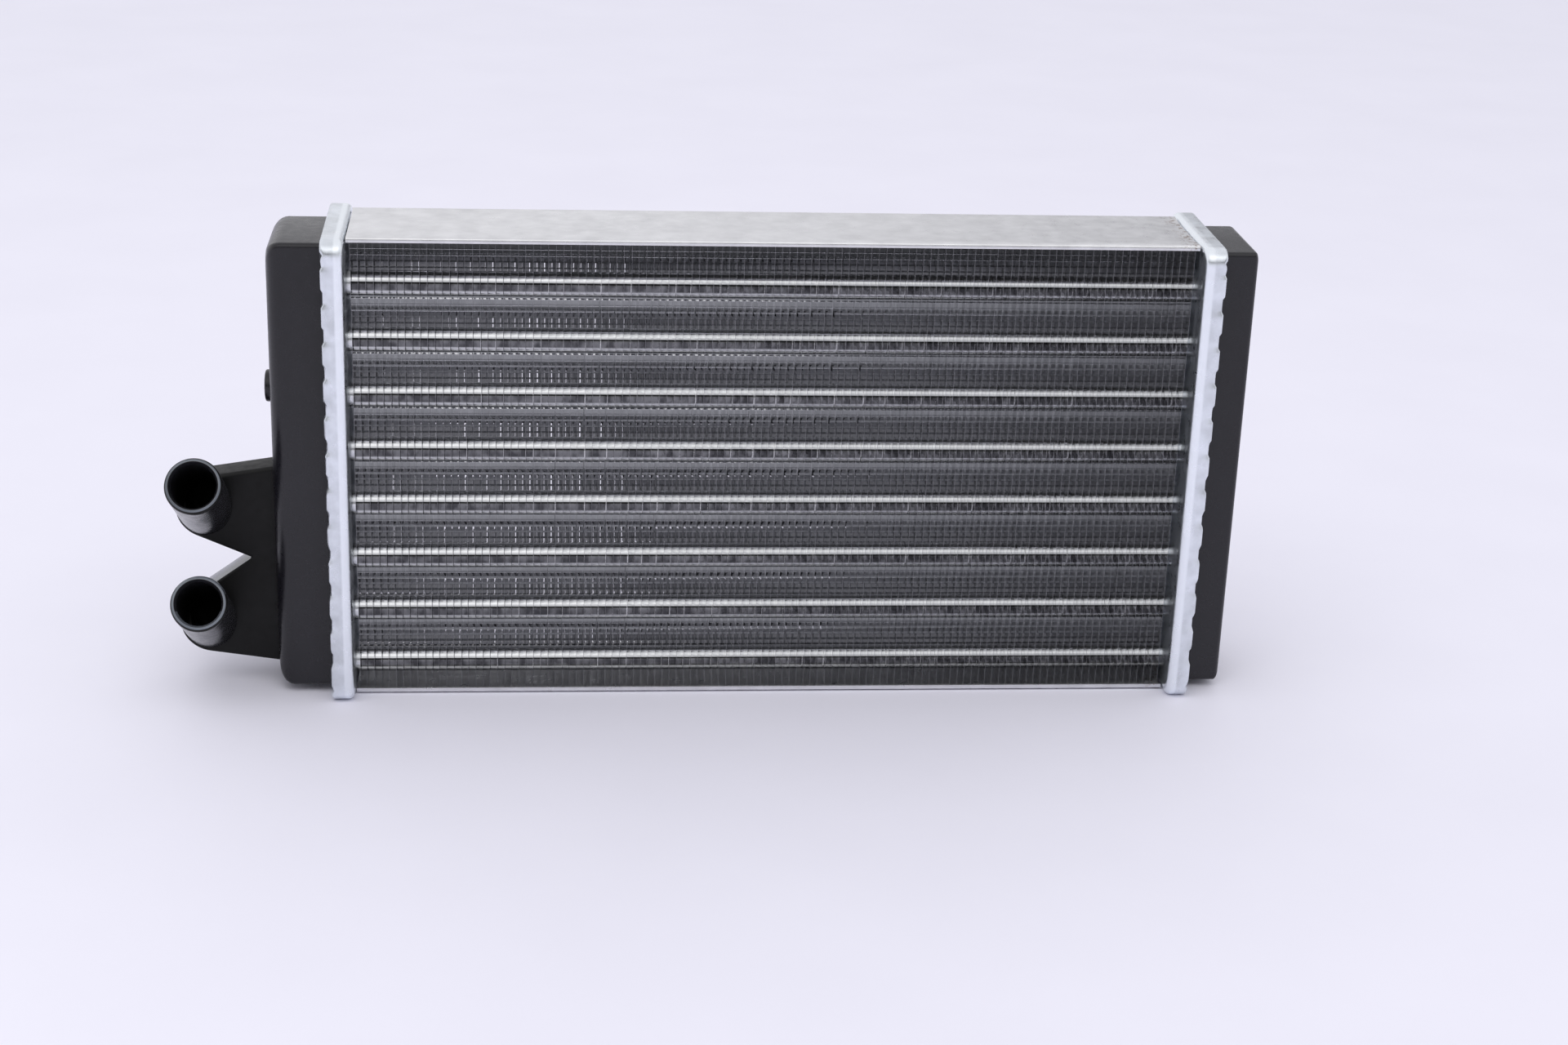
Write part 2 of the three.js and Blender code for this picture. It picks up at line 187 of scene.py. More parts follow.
STUB_RISE = math.radians(32)
STUB_X = -162.4
STUB_MOUTH_Y = -30
STUB_MOUTH_Z = (69.8, 34.4)
STUB_INWARD = Vector((0, math.cos(STUB_RISE), -math.sin(STUB_RISE)))
STUB_OUTSIDE = (                   # (depth from the mouth, radius), as for the bore below
    (0.0, 7.0), (0.06, 7.3), (0.25, 7.6), (0.5, 7.8), (0.9, 7.98), (1.3, 8.05),
    (2.2, 8.05), (2.8, 8.0), (10, 8.0), (33, 8.0),
)
STUB_INSIDE = ((-2, 7.2), (-0.01, 6.9), (0.9, 6.35), (1.4, 6.3), (31, 6.2))
STUB_SIDES = 72
HIGHLIGHT_RING = (0.5, 7.0, 7.6)        # depth, and smallest and largest radius, of the ring with a painted highlight
DULL_EDGE = (1.5, 7.6, 8.2)        # and of the dull one round it

DUCT_FRONT = -8
DUCT_BACK = 5
DUCT_WALL = 2.4
DUCT_ROUND_X = -161.2
DUCT_ROUND_Z = (54.8, 19.3)
DUCT_RADIUS = 9.5
DUCT_FRONT_RADIUS = (1.2, 0.8)
DUCT_BACK_RADIUS = 4.5
DUCT_NOTCH = (-149.5, 39.3)
DUCT_ROOT_TOP = 67.4
DUCT_ROOT_BOTTOM = 6.9
DUCT_INSIDE = -LEFT_TANK_FACE + WALL / 2                    # X where the ducts end, in the tank's wall
DUCT_ROOTS = (                     # top root, bottom root and height of the round end of each duct
    ((-LEFT_TANK_FACE, DUCT_ROOT_TOP), DUCT_NOTCH, DUCT_ROUND_Z[0]),
    (DUCT_NOTCH, (-LEFT_TANK_FACE, DUCT_ROOT_BOTTOM), DUCT_ROUND_Z[1]),
)
WEB_LEVELS = (                     # (Y, distance back from the notch) of the web's rings
    (DUCT_FRONT + 0.02, 0.3), (DUCT_FRONT + 0.4, 0), (DUCT_BACK - 1.2, 0), (DUCT_BACK - 0.5, 1),
)
WEB_TIP = ((2.2, 1.7), (0.6, 0.9), (0, 0), (0.6, -0.9), (2.2, -1.9))    # (X, Z) from the web's tip
WEB_HALF_HEIGHT = 10
WEB_REACH = 0.4                    # how far the web's tip goes past the notch

# ---- Floor, light and camera, with the floor and the lamp in metres ----

FLOOR_RADII = (0.4, 1.0, 3.0, 9.0)
FLOOR_SIDES = 64
LAMP_PLACE = (-0.3, -0.7, 1.4)     # from the matrix's centre on the floor
LAMP_AIM_HEIGHT = 0.07
LAMP_SIZE = (1.6, 1.2)
LAMP_POWER = 6.0
LAMP_COLOUR = (1.0, 0.99, 0.97)
SKY_COLOUR = (1.02, 1.02, 1.06)
WINDOW_COLOUR = (1.6, 1.6, 1.62)
SHADE_COLOUR = (0.42, 0.42, 0.45)
ROOM_COLOUR = (0.05, 0.05, 0.055)
ROOM_BAND = ((0.08, 0), (0.15, 1), (0.30, 1), (0.40, 0))    # (height in the sky, level)
SKY_STRENGTH = 0.87

CAMERA_PLACE = (-68.0, -735.4, 329.3)
CAMERA_PITCH = math.radians(20.88)
CAMERA_YAW = math.radians(5.73)
CAMERA_ROLL = math.radians(2.06)
CAMERA_LENS = 61.18
SENSOR_WIDTH = 36


def tube_heights(row):
    """Heights of a row's tube centres, from the lowest up."""
    boxes = [local_box(f"tube_{row}_{i + 1}") for i in range(TUBES_PER_ROW)]
    return [(low.z + high.z) / 2 for low, high in boxes]


def tube_row(row):
    """Y of a row's tube centres."""
    low, high = local_box(f"tube_{row}_1")
    return (low.y + high.y) / 2


# ---- Mesh helpers ----

CREASE = math.radians(32)


def in_row_frame(points):
    """Points in metres in the row frame."""
    return np.asarray(points, float).reshape(-1, 3) * MM + np.array(CENTRE)


def new_object(name, points, faces):
    """An object whose faces point outwards."""
    mesh = bpy.data.meshes.new(name)
    mesh.from_pydata(in_row_frame(points).tolist(), [], faces)
    mesh.validate()
    shell = bmesh.new()
    shell.from_mesh(mesh)
    bmesh.ops.recalc_face_normals(shell, faces=shell.faces)
    shell.to_mesh(mesh)
    shell.free()
    thing = bpy.data.objects.new(name, mesh)
    bpy.context.scene.collection.objects.link(thing)
    return thing


def shade(thing):
    """Smooth shading, with an edge wherever two faces meet at more than CREASE."""
    mesh = thing.data
    mesh.polygons.foreach_set("use_smooth", [True] * len(mesh.polygons))
    mesh.set_sharp_from_angle(angle=CREASE)


def make_piece(thing, material, slot, *nodes):
    """Gives a finished mesh its material and body, and hides the CAD nodes that it stands for. slot is
    not used.
    """
    thing.data.materials.clear()
    thing.data.materials.append(material)
    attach(thing, "root")
    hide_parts(*nodes)


def loft(rings, caps=True, loop=False):
    """Points and faces of a skin over rings that have the same number of points."""
    count = len(rings[0])
    points = [tuple(p) for ring in rings for p in ring]
    faces = []
    steps = len(rings) if loop else len(rings) - 1
    for i in range(steps):
        here = i * count
        there = ((i + 1) % len(rings)) * count
        for j in range(count):
            k = (j + 1) % count
            faces.append((here + j, here + k, there + k, there + j))
    if caps and not loop:
        faces.append(tuple(range(count - 1, -1, -1)))
        faces.append(tuple(range((len(rings) - 1) * count, len(rings) * count)))
    return points, faces


def combine(base, tools, operation):
    """Joins tools to base, or cuts them out of it, and deletes them."""
    for tool in tools:
        modifier = base.modifiers.new("combine", "BOOLEAN")
        modifier.operation = operation
        modifier.solver = "EXACT"
        modifier.object = tool
    settle(base)
    for tool in tools:
        bpy.data.objects.remove(tool)


def settle(thing):
    """Applies a thing's modifiers to its mesh."""
    bpy.context.view_layer.update()
    shown = thing.evaluated_get(bpy.context.evaluated_depsgraph_get())
    mesh = bpy.data.meshes.new_from_object(shown)
    thing.modifiers.clear()
    thing.data = mesh


def rounded_rectangle(half_width, low, high, radius, corner_steps, side_steps=(1, 1)):
    """Anticlockwise points (u, v) of a rounded rectangle, with u from -half_width to half_width.
    side_steps are the numbers of steps along an upright side and along a level one."""
    centres = (
        (half_width - radius, low + radius, -90),
        (half_width - radius, high - radius, 0),
        (-half_width + radius, high - radius, 90),
        (-half_width + radius, low + radius, 180),
    )
    corners = []
    for u, v, start in centres:
        turn = [math.radians(start + 90 * i / corner_steps) for i in range(corner_steps + 1)]
        corners.append([(u + radius * math.cos(a), v + radius * math.sin(a)) for a in turn])
    points = []
    for i, corner in enumerate(corners):
        points += corner
        start = corner[-1]
        end = corners[(i + 1) % 4][0]
        steps = side_steps[i % 2]
        for j in range(1, steps):
            t = j / steps
            points.append((start[0] + (end[0] - start[0]) * t, start[1] + (end[1] - start[1]) * t))
    return points


def turns(sides):
    """Angles of the corners of a ring with that many sides."""
    return [2 * math.pi * i / sides for i in range(sides)]


def circle(u, v, radius, sides):
    return [(u + radius * math.cos(a), v + radius * math.sin(a)) for a in turns(sides)]


def rounding(radius, steps):
    """Points round an edge, as pairs: how far under the first face, and how far under the second."""
    angles = [math.pi / 2 * i / steps for i in range(steps + 1)]
    return [(radius * (1 - math.cos(a)), radius * (1 - math.sin(a))) for a in angles]


def at_x(x, outline):
    """A ring of points at one X, from an outline in Y and Z."""
    return [(x, y, z) for y, z in outline]


def at_y(y, outline):
    """A ring of points at one Y, from an outline in X and Z."""
    return [(x, y, z) for x, z in outline]


# ---- Materials ----

class Nodes:
    """A node tree, with short ways to add what the materials and the sky use. A value given to one of
    these is another node's output, a number or a colour."""

    def __init__(self, tree, coordinates="Object"):
        self.tree = tree
        self.place = self.add("ShaderNodeTexCoord").outputs[coordinates]

    def add(self, kind, **settings):
        node = self.tree.nodes.new(kind)
        for key, value in settings.items():
            setattr(node, key, value)
        return node

    def feed(self, socket, value):
        """Gives an input its value."""
        if isinstance(value, bpy.types.NodeSocket):
            self.tree.links.new(value, socket)
        elif isinstance(value, tuple):
            socket.default_value = (*value, 1)
        else:
            socket.default_value = value

    def axes(self):
        """X, Y and Z of the point, or of the direction in the sky."""
        split = self.add("ShaderNodeSeparateXYZ")
        self.feed(split.inputs["Vector"], self.place)
        return split.outputs["X"], split.outputs["Y"], split.outputs["Z"]

    def compute(self, operation, *values):
        node = self.add("ShaderNodeMath", operation=operation)
        for socket, value in zip(node.inputs, values):
            self.feed(socket, value)
        return node.outputs["Value"]

    def product(self, *values):
        result = values[0]
        for value in values[1:]:
            result = self.compute("MULTIPLY", result, value)
        return result

    def noise(self, scale, detail=4, stretch=(1, 1, 1)):
        """Noise with about scale blotches per metre, stretched along the axes."""
        mapping = self.add("ShaderNodeMapping")
        mapping.inputs["Scale"].default_value = stretch
        self.feed(mapping.inputs["Vector"], self.place)
        noise = self.add("ShaderNodeTexNoise")
        self.feed(noise.inputs["Scale"], scale)
        self.feed(noise.inputs["Detail"], detail)
        self.feed(noise.inputs["Vector"], mapping.outputs["Vector"])
        return noise.outputs["Fac"]

    def spread(self, value, low, high, start=0.3, end=0.7):
        """Maps start..end of a value to low..high. They are a noise's middle range unless given."""
        node = self.add("ShaderNodeMapRange")
        self.feed(node.inputs["From Min"], start)
        self.feed(node.inputs["From Max"], end)
        self.feed(node.inputs["To Min"], low)
        self.feed(node.inputs["To Max"], high)
        self.feed(node.inputs["Value"], value)
        return node.outputs["Result"]

    def step(self, value, start, end):
        """A soft step, 0 where the value is at start and 1 where it is at end."""
        node = self.add("ShaderNodeMapRange", interpolation_type="SMOOTHSTEP")
        self.feed(node.inputs["From Min"], start)
        self.feed(node.inputs["From Max"], end)
        self.feed(node.inputs["Value"], value)
        return node.outputs["Result"]

    def blend(self, value, first, second):
        """A colour between two, by a value from 0 to 1."""
        node = self.add("ShaderNodeMix", data_type="RGBA")
        self.feed(node.inputs["Factor"], value)
        self.feed(node.inputs["A"], first)
        self.feed(node.inputs["B"], second)
        return node.outputs["Result"]

    def bump(self, height, strength, distance, below=None):
        node = self.add("ShaderNodeBump")
        self.feed(node.inputs["Strength"], strength)
        self.feed(node.inputs["Distance"], distance)
        self.feed(node.inputs["Height"], height)
        if below is not None:
            self.feed(node.inputs["Normal"], below)
        return node.outputs["Normal"]

    def surface(self, name, value):
        """Sets one input of the material's shader."""
        self.feed(self.tree.nodes["Principled BSDF"].inputs[name], value)

    def base_colour(self):
        """What the shader's colour comes from so far."""
        return self.tree.nodes["Principled BSDF"].inputs["Base Color"].links[0].from_socket


def new_material(name):
    material = bpy.data.materials.new(name)
    material.use_nodes = True
    return material


def sheet_metal(name, dark, light, smooth, rough, brushing):
    """Rolled aluminium: a brushed grain along one axis, cloudy oxide and a slight waviness."""
    material = new_material(name)
    nodes = Nodes(material.node_tree)
    nodes.surface("Metallic", 1)
    cloud = nodes.spread(nodes.noise(170, 5), 0, 1)
    nodes.surface("Base Color", nodes.blend(cloud, dark, light))
    nodes.surface("Roughness", nodes.spread(nodes.noise(320, 6), smooth, rough))
    waves = nodes.bump(nodes.noise(45, 2), 0.25, 0.0012)
    grain = nodes.noise(900, 3, brushing)
    nodes.surface("Normal", nodes.bump(grain, 0.12, 0.00012, waves))
    return material


def paint_bend_highlight(material, start, end):
    """Whitens a header's metal towards its bend, a painted highlight along the bend. start and end are
    distances from the middle.
    """
    nodes = Nodes(material.node_tree)
    x, _, _ = nodes.axes()
    distance = nodes.compute("ABSOLUTE", nodes.compute("SUBTRACT", x, CENTRE.x))
    clean_foil_and_bend_highlight = nodes.step(distance, start, end)
    nodes.surface("Base Color", nodes.blend(clean_foil_and_bend_highlight, nodes.base_colour(), (0.88, 0.92, 0.96)))


def add_specks(material, start, end):
    """Adds brown specks to a sheet metal, where its X is past start and more of them towards end."""
    nodes = Nodes(material.node_tree)
    x, _, _ = nodes.axes()
    speck = nodes.step(nodes.noise(900, 3), 0.52, 0.62)
    amount = nodes.product(speck, nodes.step(x, start, end))
    nodes.surface("Base Color", nodes.blend(amount, nodes.base_colour(), (0.20, 0.11, 0.06)))


def tube_phase(nodes, height, row):
    """How far a height is between two tubes of a row, from 0 to 1, with 0.5 at a tube's centre."""
    first, second = tube_heights(row)[:2]
    pitch = second - first
    pitches = nodes.compute("MULTIPLY_ADD", height, 1 / (pitch * MM), 1.5 - first / pitch)
    return nodes.compute("FRACT", pitches)


def from_tube(nodes, phase):
    """Distance from the nearest tube's centre, in pitches of the tubes."""
    return nodes.compute("ABSOLUTE", nodes.compute("SUBTRACT", phase, 0.5))


def by_depth(nodes, depth, low, high, zone):
    """Maps a zone of depths, in millimetres behind the matrix's middle, to low..high."""
    start, end = zone
    return nodes.spread(depth, low, high, CENTRE.y + start * MM, CENTRE.y + end * MM)


def foil_colour(nodes, haze, behind, from_back_tube):
    """Clean foil, with dust between the tubes of the back row, near-black streaks of painted shade on
    the under side of the front tubes' collars, and a dark cut edge in front."""
    _, depth, height = nodes.axes()
    clean_foil_and_bend_highlight = nodes.blend(haze, (0.62, 0.625, 0.635), (0.72, 0.725, 0.735))
    dusty = nodes.blend(haze, (0.66, 0.66, 0.69), (0.76, 0.76, 0.79))
    dust = nodes.product(behind, nodes.spread(from_back_tube, 0, 1, *BETWEEN_TUBES))
    foil = nodes.blend(dust, clean_foil_and_bend_highlight, dusty)
    phase = tube_phase(nodes, height, "front")
    # A near-black streak of painted shade under each front tube's collar, broken into patches.
    below = nodes.product(nodes.step(phase, *UNDER_TUBE[0]), nodes.step(phase, *UNDER_TUBE[1]))
    patches = nodes.spread(nodes.noise(420, 2, (1, 1, 0.5)), 0.8, 1, 0.38, 0.62)
    foil_with_painted_shade = nodes.blend(nodes.product(below, patches), foil, (0.07, 0.07, 0.075))
    return nodes.blend(by_depth(nodes, depth, 1, 0, CUT_EDGE), foil_with_painted_shade, (0.22, 0.22, 0.23))


def foil_glow(nodes, behind, from_back_tube):
    """A faint light deep between the fins, on the back tubes' collars and half way between the tubes.
    It stands in for light that would take many more mirror bounces to get there."""
    _, depth, height = nodes.axes()
    deep = nodes.product(behind, by_depth(nodes, depth, 1, 0, GLOW_END))
    on_tube = nodes.spread(from_back_tube, 0.17, 0.028, *ON_TUBE)
    half_way = nodes.spread(from_back_tube, 0, 0.11, *HALF_WAY)
    fade_start, fade_end = ((tube_heights("front")[-1] + above) * MM for above in ABOVE_TOP_TUBE)
    under_top = nodes.spread(height, 1, 0.15, fade_start, fade_end)
    return nodes.product(deep, nodes.compute("ADD", on_tube, half_way), under_top)


def fin_foil(name):
    """Bright foil, almost a mirror, with faint rolling lines. It is dull in the back column."""
    material = new_material(name)
    nodes = Nodes(material.node_tree)
    _, depth, height = nodes.axes()
    haze = nodes.spread(nodes.noise(260), 0, 1)
    inner = by_depth(nodes, depth, 0, 1, DULL_START)
    behind = nodes.product(inner, by_depth(nodes, depth, 1, 0.12, DULL_END))
    from_back_tube = from_tube(nodes, tube_phase(nodes, height, "back"))
    nodes.surface("Base Color", foil_colour(nodes, haze, behind, from_back_tube))
    nodes.surface("Metallic", nodes.spread(behind, 0.88, 0.05, 0, 1))
    smooth = nodes.spread(nodes.noise(500), 0.03, 0.09)
    nodes.surface("Roughness", nodes.compute("MULTIPLY_ADD", behind, 0.75, smooth))
    nodes.surface("Emission Color", nodes.blend(haze, (0.60, 0.60, 0.68), (0.72, 0.72, 0.81)))
    nodes.surface("Emission Strength", foil_glow(nodes, behind, from_back_tube))
    rolling = nodes.noise(1200, 2, (1, 0.05, 1))
    nodes.surface("Normal", nodes.bump(rolling, 0.05, 0.00005))
    return material


def moulded_nylon(name, dark, light, smooth, rough, gloss):
    """Black glass-filled nylon: satin, with a fine grain and faint flow marks."""
    material = new_material(name)
    nodes = Nodes(material.node_tree)
    nodes.surface("Specular IOR Level", gloss)
    flow = nodes.spread(nodes.noise(60, 4, (1, 1, 0.35)), 0, 1)
    nodes.surface("Base Color", nodes.blend(flow, dark, light))
    nodes.surface("Roughness", nodes.spread(nodes.noise(420, 5), smooth, rough))
    sink = nodes.bump(nodes.noise(38, 2), 0.10, 0.0016)
    nodes.surface("Normal", nodes.bump(nodes.noise(2600, 3), 0.10, 0.00009, sink))
    return material


def rubber(name):
    """Black rubber with a little pale dust and a rough skin."""
    material = new_material(name)
    nodes = Nodes(material.node_tree)
    dust = nodes.spread(nodes.noise(500, 5), 0, 1)
    nodes.surface("Base Color", nodes.blend(dust, (0.012, 0.012, 0.012), (0.035, 0.034, 0.033)))
    nodes.surface("Roughness", nodes.spread(nodes.noise(900, 3), 0.62, 0.85))
    nodes.surface("Normal", nodes.bump(nodes.noise(2200, 3), 0.3, 0.0001))
    return material


def natural_nylon(name):
    """Undyed nylon, ivory with faint stains."""
    material = new_material(name)
    nodes = Nodes(material.node_tree)
    stain = nodes.spread(nodes.noise(240, 5), 0, 1)
    nodes.surface("Base Color", nodes.blend(stain, (0.60, 0.55, 0.42), (0.74, 0.70, 0.58)))
    nodes.surface("Roughness", nodes.spread(nodes.noise(700, 3), 0.38, 0.55))
    nodes.surface("Normal", nodes.bump(nodes.noise(1500, 3), 0.2, 0.0001))
    return material


def floor_paper(name):
    material = new_material(name)
    nodes = Nodes(material.node_tree)
    fibre = nodes.spread(nodes.noise(14), 0, 1)
    nodes.surface("Base Color", nodes.blend(fibre, (0.81, 0.80, 0.895), (0.83, 0.82, 0.915)))
    nodes.surface("Roughness", 0.6)
    nodes.surface("Specular IOR Level", 0.25)
    return material


ALONG_X = (0.04, 1, 1)
ALONG_Z = (1, 1, 0.04)

# For each: darkest and lightest colour, lowest and highest roughness, and the direction of brushing
# of a metal or the gloss of a nylon.
HEADER_METAL = sheet_metal("header_metal", (0.62, 0.65, 0.68), (0.82, 0.86, 0.91), 0.24, 0.40, ALONG_Z)
PLATE_METAL = sheet_metal("plate_metal", (0.68, 0.68, 0.69), (0.80, 0.80, 0.81), 0.26, 0.40, ALONG_X)
TUBE_METAL = sheet_metal("tube_metal", (0.70, 0.70, 0.71), (0.82, 0.82, 0.83), 0.18, 0.30, ALONG_X)
FIN_METAL = fin_foil("fin_foil")
TANK_NYLON = moulded_nylon("tank_nylon", (0.006, 0.0055, 0.008), (0.01, 0.0095, 0.013), 0.24, 0.34, 0.45)
DUCT_NYLON = moulded_nylon("duct_nylon", (0.004, 0.004, 0.004), (0.007, 0.007, 0.007), 0.42, 0.55, 0.22)
STUB_NYLON = moulded_nylon("stub_nylon", (0.006, 0.006, 0.008), (0.020, 0.020, 0.024), 0.16, 0.26, 0.75)
# The lighter ring on each stub's mouth is a painted highlight.
RIM_HIGHLIGHT_NYLON = moulded_nylon("painted_highlight_rim_nylon", (0.03, 0.036, 0.045), (0.17, 0.19, 0.22), 0.25, 0.40, 0.6)
# The lighter nylon on the upward faces under the notch is a painted highlight.
NOTCH_HIGHLIGHT_NYLON = moulded_nylon("painted_highlight_notch_nylon", (0.05, 0.055, 0.07), (0.10, 0.11, 0.13), 0.10, 0.18, 1.0)
GASKET_RUBBER = rubber("gasket_rubber")
TURBULATOR_NYLON = natural_nylon("turbulator_nylon")

# The header's whitened bend is a painted highlight.
paint_bend_highlight(HEADER_METAL, (PLATE_X + 3.1) * MM, (PLATE_X + 2.3) * MM)
add_specks(PLATE_METAL, CENTRE.x + (PLATE_X - 7) * MM, CENTRE.x + (PLATE_X + 2) * MM)


# ---- Fins ----

class Sheet:
    """A thin sheet made of quads. Corners that fall on each other are one point, so that two quads
    that share an edge are joined, and strips that stand apart are not."""

    def __init__(self):
        self.points = []
        self.index = {}
        self.faces = []

    def corner(self, x, y, z):
        key = (round(x, 4), round(y, 4), round(z, 4))
        if key not in self.index:
            self.index[key] = len(self.points)
            self.points.append((x, y, z))
        return self.index[key]

    def quad(self, *corners):
        self.faces.append(tuple(self.corner(*c) for c in corners))

    def thickened(self, thickness):
        """The same sheet as a closed solid of that thickness."""
        points = np.array(self.points)
        faces = np.array(self.faces)
        across = np.cross(
            points[faces[:, 2]] - points[faces[:, 0]],
            points[faces[:, 3]] - points[faces[:, 1]],
        )
        normals = np.zeros_like(points)
        for i in range(4):
            np.add.at(normals, faces[:, i], across)
        normals /= np.linalg.norm(normals, axis=1, keepdims=True)
        count = len(points)
        both = np.concatenate((points + normals * thickness / 2, points - normals * thickness / 2))
        edges = {}
        for face in self.faces:
            for a, b in zip(face, face[1:] + face[:1]):
                if a != b:
                    edges[(a, b)] = True
        rim = [(b, a, a + count, b + count) for a, b in edges if (b, a) not in edges]
        back = faces[:, ::-1] + count
        return both, np.concatenate((faces, back, np.array(rim)))


def add_panel(sheet, column, low, high):
    """The panel of one column between two tubes. Returns the heights of its points."""
    ripples = RIPPLE_X["front" if column < 0 else "back"]
    levels = ((low, 0), (low + LEG, 1), (high - LEG, 1), (high, 0))

    def corner(i, level):
        z, ripple = level
        return ripples[i] * ripple, column + RIPPLE_Y[i], z

    for i in range(len(RIPPLE_Y) - 1):
        for below, above in zip(levels, levels[1:]):
            sheet.quad(corner(i, below), corner(i + 1, below), corner(i + 1, above), corner(i, above))
    return [level[0] for level in levels]


def add_tabs(sheet):
    """Small level tabs that reach from a fin to the next one and hold the two apart."""
    heights = tube_heights("back")
    pitch = heights[1] - heights[0]
    y0, y1 = TAB_DEPTH
    for height in heights:
        for i in range(TABS_PER_TUBE):
            z = height + pitch * ((i + 0.5) / TABS_PER_TUBE + FIRST_TAB)
            if FIN_BOTTOM < z < FIN_TOP:
                sheet.quad(
                    (SPACER_ROOT, y0, z),
                    (SPACER_REACH, y0, z),
                    (SPACER_REACH, y1, z),
                    (SPACER_ROOT, y1, z),
                )


def add_flaps(sheet):
    """Small upright flaps that hold two fins apart near their back edges."""
    for height in tube_heights("back"):
        z0, z1 = (height + z for z in FLAP_HEIGHTS)
        sheet.quad(
            (SPACER_ROOT, FLAP_DEPTH, z0),
            (SPACER_REACH, FLAP_DEPTH, z0),
            (SPACER_REACH, FLAP_DEPTH, z1),
            (SPACER_ROOT, FLAP_DEPTH, z1),
        )


def add_flat(sheet, column, y_levels, z_levels):
    """A flat part of a fin, as a grid of quads."""
    for y0, y1 in zip(y_levels, y_levels[1:]):
        for z0, z1 in zip(z_levels, z_levels[1:]):
            sheet.quad(
                (0, column + y0, z0),
                (0, column + y1, z0),
                (0, column + y1, z1),
                (0, column + y0, z1),
            )


def add_collar(sheet, column, height):
    """The flat square round a tube, and the collar drawn out of it."""
    edge = [(SQUARE, s) for s in SQUARE_STEPS[:-1]]
    edge += [(-s, SQUARE) for s in SQUARE_STEPS[:-1]]
    edge += [(-SQUARE, -s) for s in SQUARE_STEPS[:-1]]
    edge += [(s, -SQUARE) for s in SQUARE_STEPS[:-1]]
    rings = [[(0, column + y, height + z) for y, z in edge]]
    around = [math.atan2(z, y) for y, z in edge]
    for radius, x in COLLAR:
        rings.append([
            (x, column + radius * math.cos(a), height + radius * math.sin(a)) for a in around
        ])
    for outer, inner in zip(rings, rings[1:]):
        for i in range(len(outer)):
            j = (i + 1) % len(outer)
            sheet.quad(outer[i], outer[j], inner[j], inner[i])


def add_column(sheet, row):
    """One row's share of a fin. Returns the heights that its edges have points at."""
    column = tube_row(row)
    start = RIPPLE_Y[0]
    end = RIPPLE_Y[-1]
    heights = tube_heights(row)
    pitch = heights[1] - heights[0]
    squares = [[height + step for step in SQUARE_STEPS] for height in heights]
    levels = [FIN_BOTTOM]
    below = squares[0][0] - (pitch - 2 * SQUARE)
    if below > FIN_BOTTOM:
        add_flat(sheet, column, RIPPLE_Y, (FIN_BOTTOM, below))
        levels += add_panel(sheet, column, below, squares[0][0])
    else:
        add_flat(sheet, column, RIPPLE_Y, (FIN_BOTTOM, squares[0][0]))
    for height, square in zip(heights, squares):
        add_collar(sheet, column, height)
        add_flat(sheet, column, (start, -SQUARE), square)
        add_flat(sheet, column, (SQUARE, end), square)
        levels += square
        top = square[-1] + pitch - 2 * SQUARE
        if top < FIN_TOP:
            levels += add_panel(sheet, column, square[-1], top)
    add_flat(sheet, column, RIPPLE_Y, (max(levels), FIN_TOP))
    levels = sorted(set(round(z, 4) for z in levels + [FIN_TOP]))
    outer_strip = (-COLUMN_DEPTH / 2, start) if column < 0 else (end, COLUMN_DEPTH / 2)
    add_flat(sheet, column, outer_strip, levels)
    return levels


def add_seam(sheet, front, back):
    """Joins the two columns, whose edges have points at different heights."""
    front_y = tube_row("front") - RIPPLE_Y[0]
    back_y = tube_row("back") + RIPPLE_Y[0]
    i = 0
    j = 0
    while i < len(front) - 1 or j < len(back) - 1:
        step_front = j == len(back) - 1 or (i < len(front) - 1 and front[i + 1] <= back[j + 1])
        step_back = i == len(front) - 1 or (j < len(back) - 1 and back[j + 1] <= front[i + 1])
        next_i = i + 1 if step_front else i
        next_j = j + 1 if step_back else j
        corners = [(0, front_y, front[i]), (0, back_y, back[j])]
        if step_back:
            corners.append((0, back_y, back[next_j]))
        if step_front:
            corners.append((0, front_y, front[next_i]))
        if len(corners) == 3:
            corners.append(corners[-1])
        sheet.quad(*corners)
        i = next_i
        j = next_j


def fin_sheet():
    """One whole fin, as a sheet without thickness."""
    sheet = Sheet()
    front = add_column(sheet, "front")
    back = add_column(sheet, "back")
    add_seam(sheet, front, back)
    add_tabs(sheet)
    add_flaps(sheet)
    return sheet


def fin_places():
    """X of every fin, evenly between the two headers."""
    reach = PLATE_X - FIN_CLEAR_OF_HEADER
    count = round(2 * reach / FIN_PITCH) + 1
    return [-reach + 2 * reach * i / (count - 1) for i in range(count)]


def build_fins():
    """All the fins, in as many groups as the frame has fin nodes."""
    points, faces = fin_sheet().thickened(FIN_SHEET)
    faces = [tuple(dict.fromkeys(face)) for face in faces.tolist()]
    places = fin_places()
    random = np.random.default_rng(FIN_SEED)
    for stack in range(FIN_STACKS):
        first = stack * len(places) // FIN_STACKS
        last = (stack + 1) * len(places) // FIN_STACKS
        all_points = []
        all_faces = []
        for x in places[first:last]:
            here = points.copy()
            lean, sway, phase = random.uniform(-1, 1, 3)
            waves = np.sin(here[:, 2] / FIN_SWAY_LENGTH + phase * math.pi)
            here[:, 0] += x + (FIN_LEAN * lean + FIN_SWAY * sway * waves)
            shift = len(all_points) * len(points)
            all_points.append(here)
            all_faces += [tuple(i + shift for i in face) for face in faces]
        number = f"{stack + 1:02d}"
        piece = new_object("fin_stack_" + number, np.concatenate(all_points), all_faces)
        shade(piece)
        make_piece(piece, FIN_METAL, "fin_aluminium", "fin_" + number)


# ---- Tubes ----

